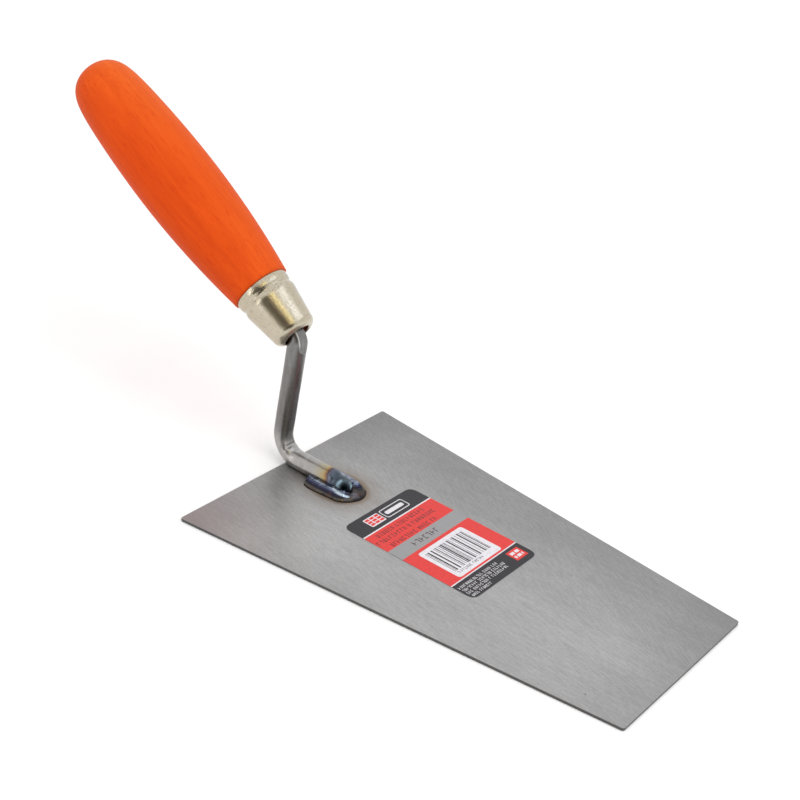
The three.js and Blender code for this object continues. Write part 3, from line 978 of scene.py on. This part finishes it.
def build_ferrule():
    lip = NOSE_RING_RADIUS - HOLE_RADIUS
    profile = [(HOLE_RADIUS, lip), *shell_profile(0), *reversed(shell_profile(FERRULE_WALL)),
               (HOLE_RADIUS, FERRULE_WALL)]

    def dents(spot):
        return noise.noise(spot * 170) * 0.05 * MM

    mesh = turned("ferrule_shell", profile, 144, loop=True, shape=dents)
    add_piece("ferrule_shell", mesh, "ferrule", "nickel_plate", nickel_plate())


def grip_radius(share):
    """The wood's radius at a share of its length, from the ferrule to the butt."""
    before = share < GRIP_SWELL_PLACE
    end_radius = GRIP_JOINT_RADIUS if before else GRIP_BUTT_RADIUS
    span = GRIP_SWELL_PLACE if before else 1 - GRIP_SWELL_PLACE
    fall = ((share - GRIP_SWELL_PLACE) / span) ** 2
    barrel = GRIP_SWELL_RADIUS - (GRIP_SWELL_RADIUS - end_radius) * fall
    return barrel * math.sqrt(1 - share ** BUTT_SQUARENESS)


def build_handle():
    shoulder = FERRULE_LENGTH + GAP
    spigot = shell_profile(FERRULE_WALL + GAP)[:-1]
    bore = TANG_RADIUS + GAP
    profile = [(0, BORE_DEPTH), (bore, BORE_DEPTH), (bore, BORE_FLARE),
               (BORE_MOUTH_RADIUS, FERRULE_WALL + GAP), *spigot, (spigot[-1][0], shoulder)]
    for step in range(81):
        share = 0.9 * step / 80
        profile.append((grip_radius(share), shoulder + GRIP_LENGTH * share))
    for step in range(1, 33):
        share = 1 - 0.1 * (1 - step / 32) ** 2
        profile.append((grip_radius(share) if step < 32 else 0, shoulder + GRIP_LENGTH * share))

    def uneven(spot):
        return noise.noise(spot * 28) * 0.10 * MM

    mesh = turned("wooden_handle", profile, 144, shape=uneven)
    add_piece("wooden_handle", mesh, "handle", "lacquered_wood", lacquered_wood())


# ------------------------------------------------------------------- studio


SQUARE = ((-1, -1), (1, -1), (1, 1), (-1, 1))
FLOOR_REACH = 4
FLOOR_HEIGHT = -0.2 * MM
CARD_DISTANCE = 1.3


def add_stage():
    floor_mesh = bpy.data.meshes.new("floor")
    corners = [(x * FLOOR_REACH, y * FLOOR_REACH, FLOOR_HEIGHT) for x, y in SQUARE]
    floor_mesh.from_pydata(corners, [], [(0, 1, 2, 3)])
    floor_mesh.materials.append(studio_floor())
    floor = bpy.data.objects.new("floor", floor_mesh)
    bpy.context.scene.collection.objects.link(floor)


def add_light(name, place, aim, size, power):
    """A round soft light that is not mirrored in the metal."""
    light = bpy.data.lights.new(name, "AREA")
    light.shape = "DISK"
    light.size = size
    light.energy = power
    lamp = bpy.data.objects.new(name, light)
    lamp.location = place
    lamp.visible_glossy = False
    lamp.rotation_euler = (Vector(aim) - Vector(place)).to_track_quat("-Z", "Y").to_euler()
    bpy.context.scene.collection.objects.link(lamp)


def add_card(name, azimuth, elevation, wide, high, color, strength):
    """A studio card that only shows in reflections.

    Its direction and its width and height are angles in degrees, seen from the ferrule.
    """
    away = Vector((
        math.cos(math.radians(azimuth)) * math.cos(math.radians(elevation)),
        math.sin(math.radians(azimuth)) * math.cos(math.radians(elevation)),
        math.sin(math.radians(elevation)),
    ))
    middle = nose_place() + away * CARD_DISTANCE
    aside = away.cross(Vector((0, 0, 1))).normalized() * CARD_DISTANCE * math.tan(math.radians(wide / 2))
    above = aside.cross(away).normalized() * CARD_DISTANCE * math.tan(math.radians(high / 2))
    mesh = bpy.data.meshes.new(name)
    mesh.from_pydata([middle + aside * x + above * y for x, y in SQUARE], [], [(0, 1, 2, 3)])
    paint = Paint(name, Metallic=0.0, Roughness=1.0)
    paint.set("Base Color", (0.0, 0.0, 0.0))
    paint.set("Emission Color", color)
    paint.set("Emission Strength", strength)
    mesh.materials.append(paint.material)
    card = bpy.data.objects.new(name, mesh)
    bpy.context.scene.collection.objects.link(card)
    card.visible_camera = False
    card.visible_diffuse = False
    card.visible_shadow = False
    card.visible_transmission = False


def add_world():
    """A soft white studio, the same on every side."""
    world = bpy.data.worlds.new("studio")
    bpy.context.scene.world = world
    world.use_nodes = True
    background = world.node_tree.nodes["Background"]
    background.inputs["Color"].default_value = (1, 1, 1, 1)
    background.inputs["Strength"].default_value = 1.05


def add_camera():
    camera = bpy.data.cameras.new("camera")
    camera.lens = CAMERA_LENS
    camera.sensor_width = 36
    camera.clip_start = 0.01
    eye = bpy.data.objects.new("camera", camera)
    bpy.context.scene.collection.objects.link(eye)
    look = (CAMERA_AIM - CAMERA_PLACE).normalized()
    turn = look.to_track_quat("-Z", "Y").to_matrix() @ Matrix.Rotation(CAMERA_ROLL, 3, "Z")
    eye.matrix_world = Matrix.Translation(CAMERA_PLACE) @ turn.to_4x4()
    bpy.context.scene.camera = eye


add_camera()
add_stage()
add_world()
add_light("key", (0.9, -0.3, 1.3), (0, 0, 0), 1.2, 9)
add_card("grey_side", -91, 12, 14, 52, (0.95, 0.90, 0.78), 0.42)
add_card("dark_side", -71, 14, 26, 56, (0.60, 0.50, 0.38), 0.25)
add_card("dark_front", -41, 10, 36, 54, (0.55, 0.50, 0.42), 0.20)
add_card("warm_lamp", -40, 49, 17, 12, (1.0, 0.89, 0.44), 2.2)
add_card("warm_edge", -54, 45, 12, 16, (1.0, 0.80, 0.42), 1.0)
add_card("white_lamp", 27, 55, 36, 11, (0.85, 0.89, 1.0), 2.4)
add_card("low_lamp", -101, 9, 8, 22, (1.0, 1.0, 1.0), 4.0)
build_blade()
build_label()
build_shank()
build_weld()
build_ferrule()
build_handle()
bpy.context.scene.view_settings.view_transform = "Standard"
